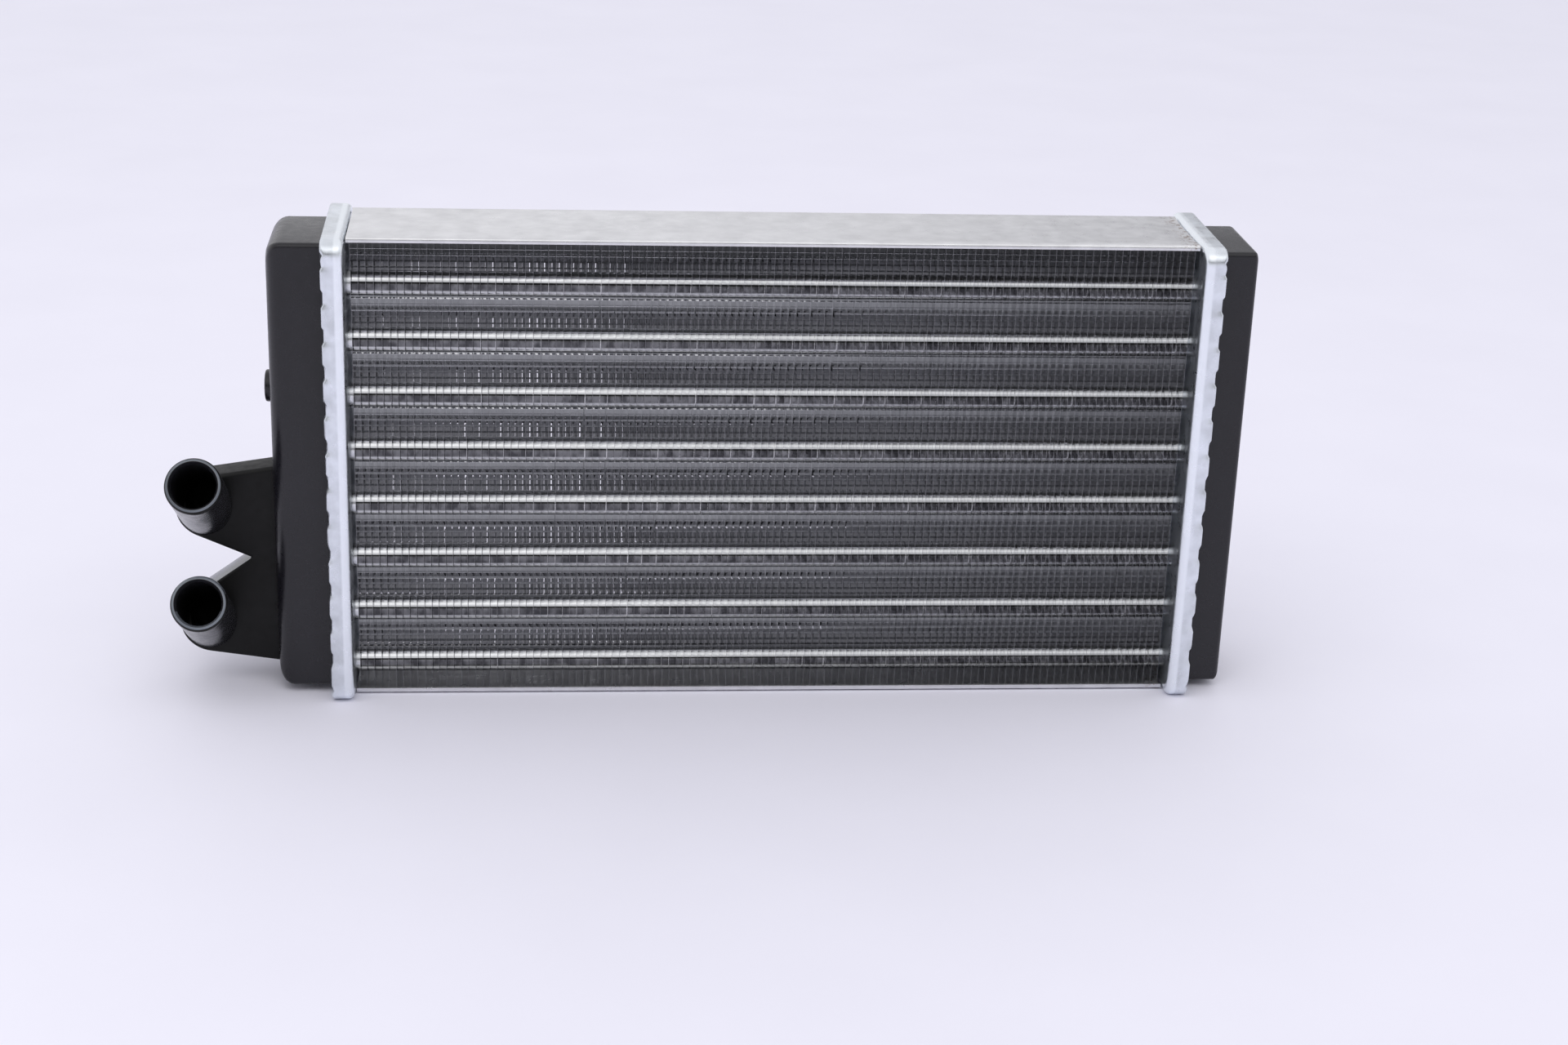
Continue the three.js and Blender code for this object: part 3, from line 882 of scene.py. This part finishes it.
def build_tubes():
    for row in ("front", "back"):
        for i in range(TUBES_PER_ROW):
            node = f"tube_{row}_{i + 1}"
            low, high = local_box(node)
            y = (low.y + high.y) / 2
            z = (low.z + high.z) / 2
            radius = (high.z - low.z) / 2
            ends = [(high.x - back, radius - under) for back, under in TUBE_END]
            profile = [(-x, r) for x, r in reversed(ends)] + ends
            rings = [at_x(x, circle(y, z, r, TUBE_SIDES)) for x, r in profile]
            tube = new_object("smooth_" + node, *loft(rings, loop=True))
            shade(tube)
            make_piece(tube, TUBE_METAL, "tube_aluminium", node)


# ---- Headers ----

def header_ring(x, inset, rim):
    """One ring of a header, inset from its outline. rim, from 0 to 1, is how far the ring follows the
    crimp waves and the gaps at the folded corners."""
    half = HEADER_BACK - inset
    low = HEADER_BOTTOM + inset
    high = HEADER_TOP - inset
    radius = max(HEADER_CORNER - inset, 0.4)
    outline = rounded_rectangle(half, low, high, radius, 8, HEADER_SIDE_STEPS)
    ring = []
    for y, z in outline:
        from_end = min(z - low, high - z)
        turn = 2 * math.pi * (z - CRIMP_SHIFT) / CRIMP_PITCH
        wave = 0.5 + 0.5 * math.tanh(CRIMP_SHARPNESS * (math.cos(turn) - CRIMP_BIAS))
        bite = wave * min(1, max(0, (from_end - CRIMP_CLEAR) / CRIMP_FADE))
        gap = 0
        if abs(y) > half - 3:
            gap = math.exp(-((from_end - CORNER_GAP_PLACE) / CORNER_GAP_WIDTH) ** 2)
        press = rim * CRIMP_PRESS * bite
        back = rim * (CRIMP_DEPTH * bite + CORNER_GAP * gap)
        ring.append((x - back, y - math.copysign(press, y), z))
    return ring


def tube_holes(side):
    """A cutter with one rod for each tube of a header."""
    start, end = sorted((side * (PLATE_X - 2), side * (PLATE_X + 3)))
    points = []
    faces = []
    for row in ("front", "back"):
        y = tube_row(row)
        for z in tube_heights(row):
            ring = circle(y, z, TUBE_HOLE, HOLE_SIDES)
            more, skin = loft([at_x(start, ring), at_x(end, ring)])
            faces += [tuple(i + len(points) for i in face) for face in skin]
            points += more
    return new_object("cutter", points, faces)


def header_object(name, side):
    """A pressed tray with its edge folded over the tank's foot. side is 1 for the right, -1 for the
    left."""
    inner_face = PLATE_X + HEADER_SHEET
    under_lip = RIM_X - LIP_SHEET
    rings = [header_ring(PLATE_X, FACE_INSET, 0), header_ring(PLATE_X, BEND + FACE_EDGE, 0)]
    for first, second in rounding(BEND, 6):
        rings.append(header_ring(PLATE_X + first, second, 0))
    for back, share in CRIMP_START:
        rings.append(header_ring(RIM_X - back, 0, share))
    for first, second in rounding(RIM_ROUND, 5):
        rings.append(header_ring(RIM_X - second, first, 1))
    rings.append(header_ring(RIM_X, LIP, 1))
    rings.append(header_ring(RIM_X - LIP_SHEET / 2, LIP + 0.4, 1))
    rings.append(header_ring(under_lip, LIP, 1))
    rings.append(header_ring(under_lip, HEADER_SHEET, 1))
    rings.append(header_ring(inner_face, HEADER_SHEET, 0))
    rings.append(header_ring(inner_face, FACE_INSET, 0))
    points, faces = loft(rings)
    tray = new_object(name, [(side * x, y, z) for x, y, z in points], faces)
    combine(tray, [tube_holes(side)], "DIFFERENCE")
    shade(tray)
    return tray


def build_headers():
    left = header_object("crimped_left_header", -1)
    make_piece(left, HEADER_METAL, "header_aluminium", "left_header")
    right = header_object("crimped_right_header", 1)
    make_piece(right, HEADER_METAL, "header_aluminium", "right_header")


# ---- Side plates ----

def plate_section(outer, half):
    """Outline of a side plate across the matrix: its outside from lip to lip, then its inside."""
    flat = half - PLATE_BEND
    inner = half - PLATE_SHEET
    under = outer - PLATE_SHEET
    steps = 12
    across = [-flat + 2 * flat * i / steps for i in range(steps + 1)]
    lip = [(-half, outer - PLATE_LIP)]
    lip += [(-half + first, outer - second) for first, second in rounding(PLATE_BEND, 5)[:-1]]
    section = lip + [(y, outer) for y in across] + [(-y, z) for y, z in reversed(lip)]
    section += [(inner, outer - PLATE_LIP), (inner, under)]
    section += [(y, under) for y in reversed(across[1:-1])]
    section += [(-inner, under), (-inner, outer - PLATE_LIP)]
    return section


def side_plate(name, side, node):
    """A channel along the matrix. side is 1 for the top plate and -1 for the bottom one."""
    low, high = local_box(node)
    outer = high.z if side > 0 else -low.z
    half = high.y
    section = plate_section(outer, half)
    rings = []
    for x in np.linspace(low.x, high.x, PLATE_STATIONS):
        near_end = max(0, abs(x) - (PLATE_X - PLATE_END)) / PLATE_END
        end_dip = RIGHT_END_DIP if x > 0 else LEFT_END_DIP
        dip = PLATE_SAG * (x / PLATE_X) ** 2 + end_dip * min(1, 2 * near_end)
        ring = []
        for y, z in section:
            share = max(0, 1 - (abs(y) / (half - 1.5)) ** 6)
            ring.append((x, y, side * (z - dip * share)))
        rings.append(ring)
    plate = new_object(name, *loft(rings))
    shade(plate)
    return plate


def build_side_plates():
    top = side_plate("pressed_top_plate", 1, "top_side_plate")
    make_piece(top, PLATE_METAL, "side_plate_aluminium", "top_side_plate")
    bottom = side_plate("pressed_bottom_plate", -1, "bottom_side_plate")
    make_piece(bottom, PLATE_METAL, "side_plate_aluminium", "bottom_side_plate")


# ---- Tanks ----

def tank_shell(name, face, radius, side):
    """The tank's rounded shell with its foot, still solid. side is 1 on the right, -1 on the left."""

    def shell(x, inset):
        outline = rounded_rectangle(
            TANK_HALF_DEPTH - inset,
            TANK_BOTTOM + inset,
            TANK_TOP - inset,
            TANK_CORNER + CORNER_GROWTH * inset,
            8,
        )
        return at_x(x, outline)

    foot = rounded_rectangle(
        FOOT_HALF_DEPTH, FOOT_BOTTOM, HEADER_TOP - FOOT_BOTTOM, FOOT_CORNER, 8
    )
    rings = [at_x(FOOT_X, foot), at_x(FOOT_END_X, foot)]
    rings.append(shell(FOOT_END_X + JUST_OFF, -FOOT_FILLET))
    rings.append(shell(FOOT_END_X + FOOT_FILLET, 0))
    for first, second in rounding(radius, 8):
        rings.append(shell(face - second, first))
    points, faces = loft(rings)
    return new_object(name, [(side * x, y, z) for x, y, z in points], faces)


def hollow(face, side):
    """What is cut out of a tank, open towards the header."""
    half = TANK_HALF_DEPTH - WALL
    outline = rounded_rectangle(half, TANK_BOTTOM + WALL, TANK_TOP - WALL, 2, 5)
    ends = (FOOT_X - 2, face - WALL)
    return new_object("hollow", *loft([at_x(side * x, outline) for x in ends]))


def touch_angle(corner, centre, radius, side):
    """Angle, seen from a circle's centre, of the point where a line from a corner touches it."""
    across = corner[0] - centre[0]
    up = corner[1] - centre[1]
    return math.atan2(up, across) + side * math.acos(radius / math.hypot(across, up))


def duct_outline(root_top, root_bottom, round_z, inset):
    """Anticlockwise outline of a duct in X and Z, inset from its real edge."""
    radius = DUCT_RADIUS - inset
    centre = (DUCT_ROUND_X, round_z)
    top = (root_top[0], root_top[1] - inset)
    bottom = (root_bottom[0], root_bottom[1] + inset)
    start = touch_angle(top, centre, radius, 1)
    end = touch_angle(bottom, centre, radius, -1) + 2 * math.pi
    points = [(DUCT_INSIDE, bottom[1]), (DUCT_INSIDE, top[1]), top]
    steps = 24
    for i in range(steps + 1):
        a = start + (end - start) * i / steps
        points.append((centre[0] + radius * math.cos(a), centre[1] + radius * math.sin(a)))
    points.append(bottom)
    return points


def duct(roots, wall, front_radius, back_radius):
    """A duct's solid, flat in front and behind, with rounded edges. With a wall, it is the channel
    inside the duct instead."""
    front = DUCT_FRONT + wall
    back = DUCT_BACK - wall
    levels = [(front + first, second) for first, second in rounding(front_radius, 5)]
    levels += [(back - second, first) for first, second in rounding(back_radius, 6)]
    rings = [at_y(y, duct_outline(*roots, inset + wall)) for y, inset in levels]
    return new_object("duct", *loft(rings))


def duct_web():
    """Fills the seam between the two ducts, from the tank to the notch."""
    notch_x, notch_z = DUCT_NOTCH
    inside = [(DUCT_INSIDE, notch_z - WEB_HALF_HEIGHT), (DUCT_INSIDE, notch_z + WEB_HALF_HEIGHT)]
    rings = []
    for y, inset in WEB_LEVELS:
        tip_x = notch_x - WEB_REACH + inset
        rings.append(at_y(y, inside + [(tip_x + x, notch_z + z) for x, z in WEB_TIP]))
    return new_object("web", *loft(rings))


def stub_place(point, mouth_z):
    """How far a point is behind the plane of a stub's mouth, and how far it is from the stub's axis."""
    away = point - Vector((STUB_X, STUB_MOUTH_Y, mouth_z))
    depth = away.dot(STUB_INWARD)
    return depth, (away - STUB_INWARD * depth).length


def turned(mouth_z, profile, name):
    """A solid of revolution about a stub's axis. Its profile is (depth, radius) pairs."""
    mouth = Vector((STUB_X, STUB_MOUTH_Y, mouth_z))
    across = Vector((1, 0, 0))
    up = across.cross(STUB_INWARD)
    rings = []
    for depth, radius in profile:
        middle = mouth + STUB_INWARD * depth
        rings.append([
            tuple(middle + (across * math.cos(a) + up * math.sin(a)) * radius) for a in turns(STUB_SIDES)
        ])
    return new_object(name, *loft(rings))


def pad():
    """The small round pad on the left tank's end."""
    rings = []
    for out, radius in PAD:
        rings.append(at_x(-LEFT_TANK_FACE - out, circle(*PAD_PLACE, radius, PAD_SIDES)))
    return new_object("pad", *loft(rings))


def tank_finish(place, normal):
    """The finish of the left tank's skin. The ducts are duller than the tank and the stubs are smoother.
    A ring on each stub's mouth is lighter, a painted highlight, with a duller ring round it, and the
    upward faces under the notch are lighter, a painted highlight too."""
    finish = TANK_NYLON
    if place.x < -LEFT_TANK_FACE - JUST_OFF and place.z < DUCT_ROOT_TOP + 10:
        finish = STUB_NYLON if place.y < DUCT_FRONT - JUST_OFF else DUCT_NYLON
    for mouth_z in STUB_MOUTH_Z:
        depth, radius = stub_place(place, mouth_z)
        # The ring on each mouth gets a painted highlight; the ring round it is duller.
        for zone, zone_finish in ((HIGHLIGHT_RING, RIM_HIGHLIGHT_NYLON), (DULL_EDGE, DUCT_NYLON)):
            deepest, smallest, largest = zone
            if depth < deepest and smallest < radius < largest:
                finish = zone_finish
    # Upward faces under the notch get the lighter nylon, a painted highlight.
    faces_up = normal.z > 0.5 and abs(normal.y) < 0.3
    if faces_up and place.x < DUCT_NOTCH[0] + 1 and place.z < DUCT_NOTCH[1] + 2:
        finish = NOTCH_HIGHLIGHT_NYLON
    return finish


def paint_left_tank(tank):
    finishes = [TANK_NYLON, DUCT_NYLON, STUB_NYLON, RIM_HIGHLIGHT_NYLON, NOTCH_HIGHLIGHT_NYLON]
    for finish in finishes[1:]:
        tank.data.materials.append(finish)
    for face in tank.data.polygons:
        place = (face.center - CENTRE) / MM
        face.material_index = finishes.index(tank_finish(place, face.normal))


def build_tanks():
    left = tank_shell("moulded_left_tank", LEFT_TANK_FACE, LEFT_TANK_ROUND, -1)
    ducts = []
    channels = []
    for roots, radius in zip(DUCT_ROOTS, DUCT_FRONT_RADIUS):
        ducts.append(duct(roots, 0, radius, DUCT_BACK_RADIUS))
        channels.append(duct(roots, DUCT_WALL, radius / 2, DUCT_WALL))
    stubs = [turned(z, STUB_OUTSIDE, "stub") for z in STUB_MOUTH_Z]
    bores = [turned(z, STUB_INSIDE, "bore") for z in STUB_MOUTH_Z]
    combine(left, ducts + [duct_web()] + stubs + [pad()], "UNION")
    combine(left, [hollow(LEFT_TANK_FACE, -1)] + channels + bores, "DIFFERENCE")
    shade(left)
    make_piece(left, TANK_NYLON, "tank_plastic", "left_tank")
    paint_left_tank(left)

    right = tank_shell("moulded_right_tank", RIGHT_TANK_FACE, RIGHT_TANK_ROUND, 1)
    combine(right, [hollow(RIGHT_TANK_FACE, 1)], "DIFFERENCE")
    shade(right)
    make_piece(right, TANK_NYLON, "tank_plastic", "right_tank")


# ---- CAD nodes that stay ----

def finish_cad_nodes():
    """The turbulators and the gaskets keep their CAD shapes and only get a material."""
    for name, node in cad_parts.items():
        if name.startswith("turbulator"):
            node.data.materials.clear()
            node.data.materials.append(TURBULATOR_NYLON)
        if name.endswith("gasket"):
            node.data.materials.clear()
            node.data.materials.append(GASKET_RUBBER)


# ---- Floor, light and camera ----

def build_floor():
    rings = []
    for radius in FLOOR_RADII:
        rings.append([(x, y, 0) for x, y in circle(0, 0, radius / MM, FLOOR_SIDES)])
    points, faces = loft(rings, caps=False)
    faces.append(tuple(range(FLOOR_SIDES)))
    floor = new_object("floor", points, faces)
    floor.data.materials.append(floor_paper("floor_paper"))


def room_band(nodes, up):
    """1 at the heights of the dim room round the studio, with straight slopes to 0 on both sides."""
    ramp = nodes.add("ShaderNodeValToRGB")
    nodes.feed(ramp.inputs["Fac"], up)
    stops = ramp.color_ramp.elements
    stops.remove(stops[1])
    for position, level in ROOM_BAND[1:]:
        stop = stops.new(position)
        stop.color = (level, level, level, 1)
    stops[0].position = ROOM_BAND[0][0]
    return ramp.outputs["Color"]


def studio_world():
    """Pale light all round, brighter high in front, with the dim room as a soft dark band behind the
    camera and a fainter one far on the right."""
    world = bpy.data.worlds.new("studio")
    world.use_nodes = True
    nodes = Nodes(world.node_tree, "Generated")
    right, back, up = nodes.axes()
    band = room_band(nodes, up)
    in_front = nodes.step(back, -0.1, -0.5)
    far_right = nodes.product(nodes.step(right, 0.02, 0.30), nodes.step(back, 0.3, 0.6))
    window = nodes.product(nodes.step(up, 0.58, 0.66), nodes.step(up, 0.93, 0.85), in_front)
    sky = nodes.blend(window, SKY_COLOUR, WINDOW_COLOUR)
    sky = nodes.blend(nodes.product(band, far_right), sky, SHADE_COLOUR)
    sky = nodes.blend(nodes.product(band, in_front), sky, ROOM_COLOUR)
    background = world.node_tree.nodes["Background"]
    nodes.feed(background.inputs["Color"], sky)
    nodes.feed(background.inputs["Strength"], SKY_STRENGTH)
    bpy.context.scene.world = world


def build_light():
    """The studio and one large soft lamp over the camera, which isn't seen in the metal."""
    studio_world()
    light = bpy.data.lights.new("top_light", "AREA")
    light.shape = "RECTANGLE"
    light.size, light.size_y = LAMP_SIZE
    light.energy = LAMP_POWER
    light.color = LAMP_COLOUR
    lamp = bpy.data.objects.new("top_light", light)
    lamp.location = (CENTRE.x + LAMP_PLACE[0], CENTRE.y + LAMP_PLACE[1], LAMP_PLACE[2])
    ahead = Vector((CENTRE.x, CENTRE.y, LAMP_AIM_HEIGHT)) - lamp.location
    lamp.rotation_mode = "QUATERNION"
    lamp.rotation_quaternion = ahead.to_track_quat("-Z", "Y")
    lamp.visible_glossy = False
    bpy.context.scene.collection.objects.link(lamp)
    bpy.context.scene.view_settings.view_transform = "Standard"


def build_camera():
    data = bpy.data.cameras.new("camera")
    data.lens = CAMERA_LENS
    data.sensor_width = SENSOR_WIDTH
    camera = bpy.data.objects.new("camera", data)
    ahead = Vector((
        math.sin(CAMERA_YAW) * math.cos(CAMERA_PITCH),
        math.cos(CAMERA_YAW) * math.cos(CAMERA_PITCH),
        -math.sin(CAMERA_PITCH),
    ))
    level_right = Vector((math.cos(CAMERA_YAW), -math.sin(CAMERA_YAW), 0))
    level_up = level_right.cross(ahead)
    right = level_right * math.cos(CAMERA_ROLL) + level_up * math.sin(CAMERA_ROLL)
    up = level_up * math.cos(CAMERA_ROLL) - level_right * math.sin(CAMERA_ROLL)
    turn = Matrix((right, up, -ahead)).transposed()
    place = Vector(in_row_frame(CAMERA_PLACE)[0])
    camera.matrix_world = Matrix.Translation(place) @ turn.to_4x4()
    bpy.context.scene.collection.objects.link(camera)
    bpy.context.scene.camera = camera


build_camera()
build_floor()
build_light()
build_headers()
build_side_plates()
build_tanks()
build_tubes()
build_fins()
finish_cad_nodes()
